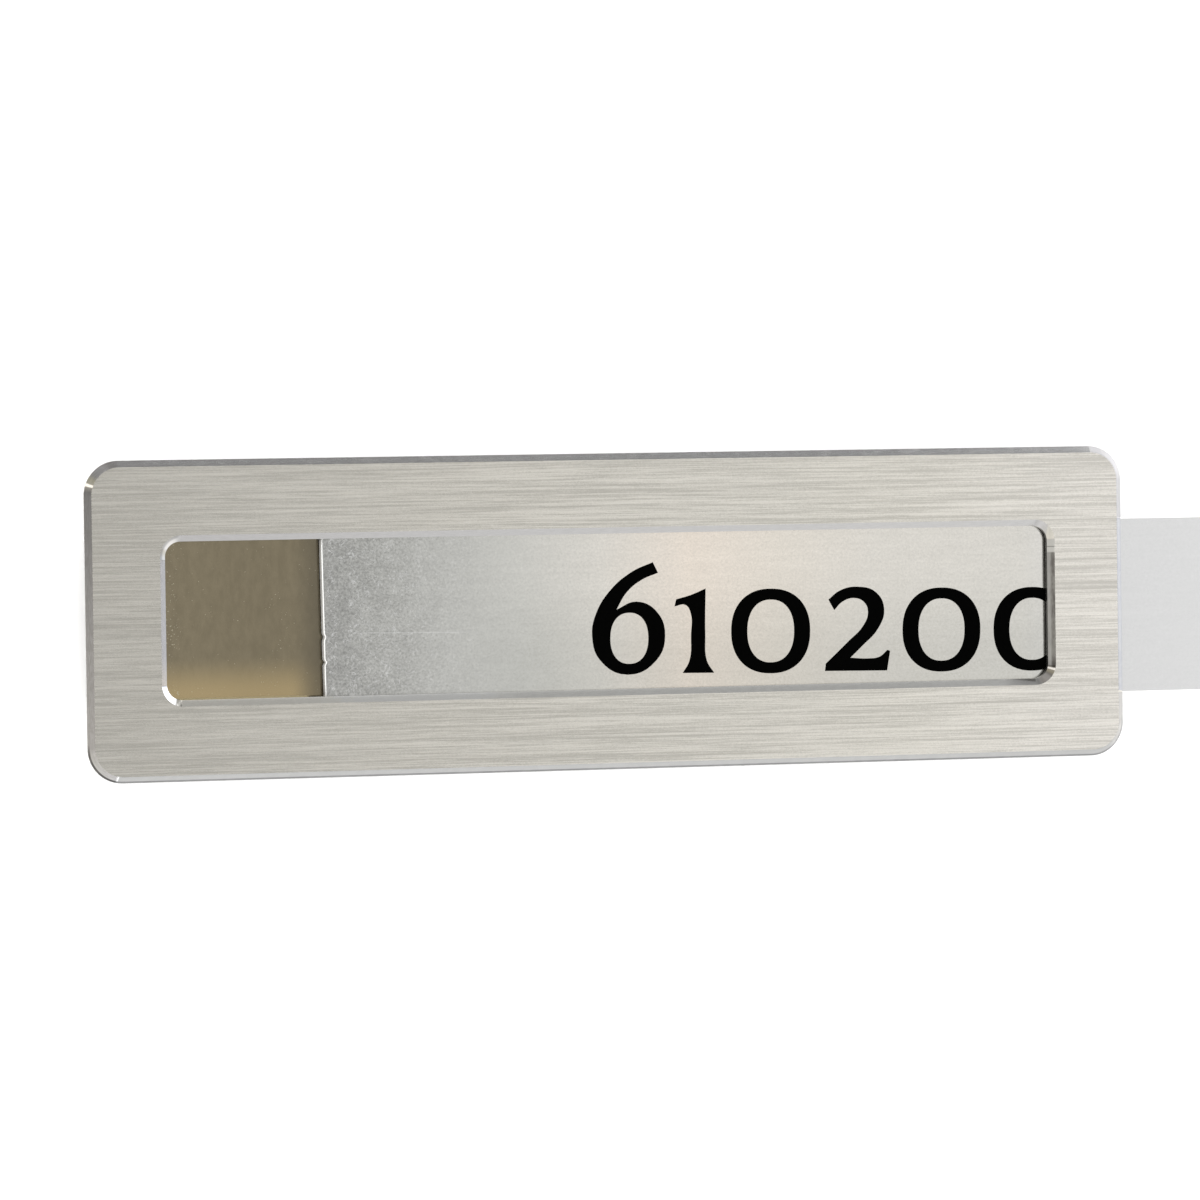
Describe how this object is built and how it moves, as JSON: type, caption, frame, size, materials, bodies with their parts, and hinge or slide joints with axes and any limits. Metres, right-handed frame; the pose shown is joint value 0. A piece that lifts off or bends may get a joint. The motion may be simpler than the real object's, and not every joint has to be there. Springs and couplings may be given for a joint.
{
  "type": "name badge",
  "caption": "Name badge: brushed aluminium frame with a long window, a name strip that slides in from one end, and a magnet bar behind.",
  "frame": {"origin": "middle of the magnet bar's flat underside, on which the badge rests with its face up", "axes": "+X along the badge towards the open end that the strip slides out of, +Y up the written line, +Z out of the face"},
  "size_m": [0.0889, 0.022, 0.0056],
  "materials": {
    "frame_aluminium": "brushed lengthways, chamfers polished",
    "polished_plate": "mirror polished, warm tone",
    "strip_aluminium": "satin with fine scratches",
    "magnet_nickel": "nickel plated, satin",
    "print_black": "printed black ink, satin"
  },
  "bodies": {
    "badge": {"front_frame": "frame_aluminium", "back_plate": "polished_plate", "magnet_bar": "magnet_nickel"},
    "strip": {"name_strip": "strip_aluminium"}
  },
  "joints": [
    {"name": "strip_slide", "type": "slide", "parent": "badge", "child": "strip", "axis": [1, 0, 0], "range_m": [-0.0139, 0.055]}
  ]
}
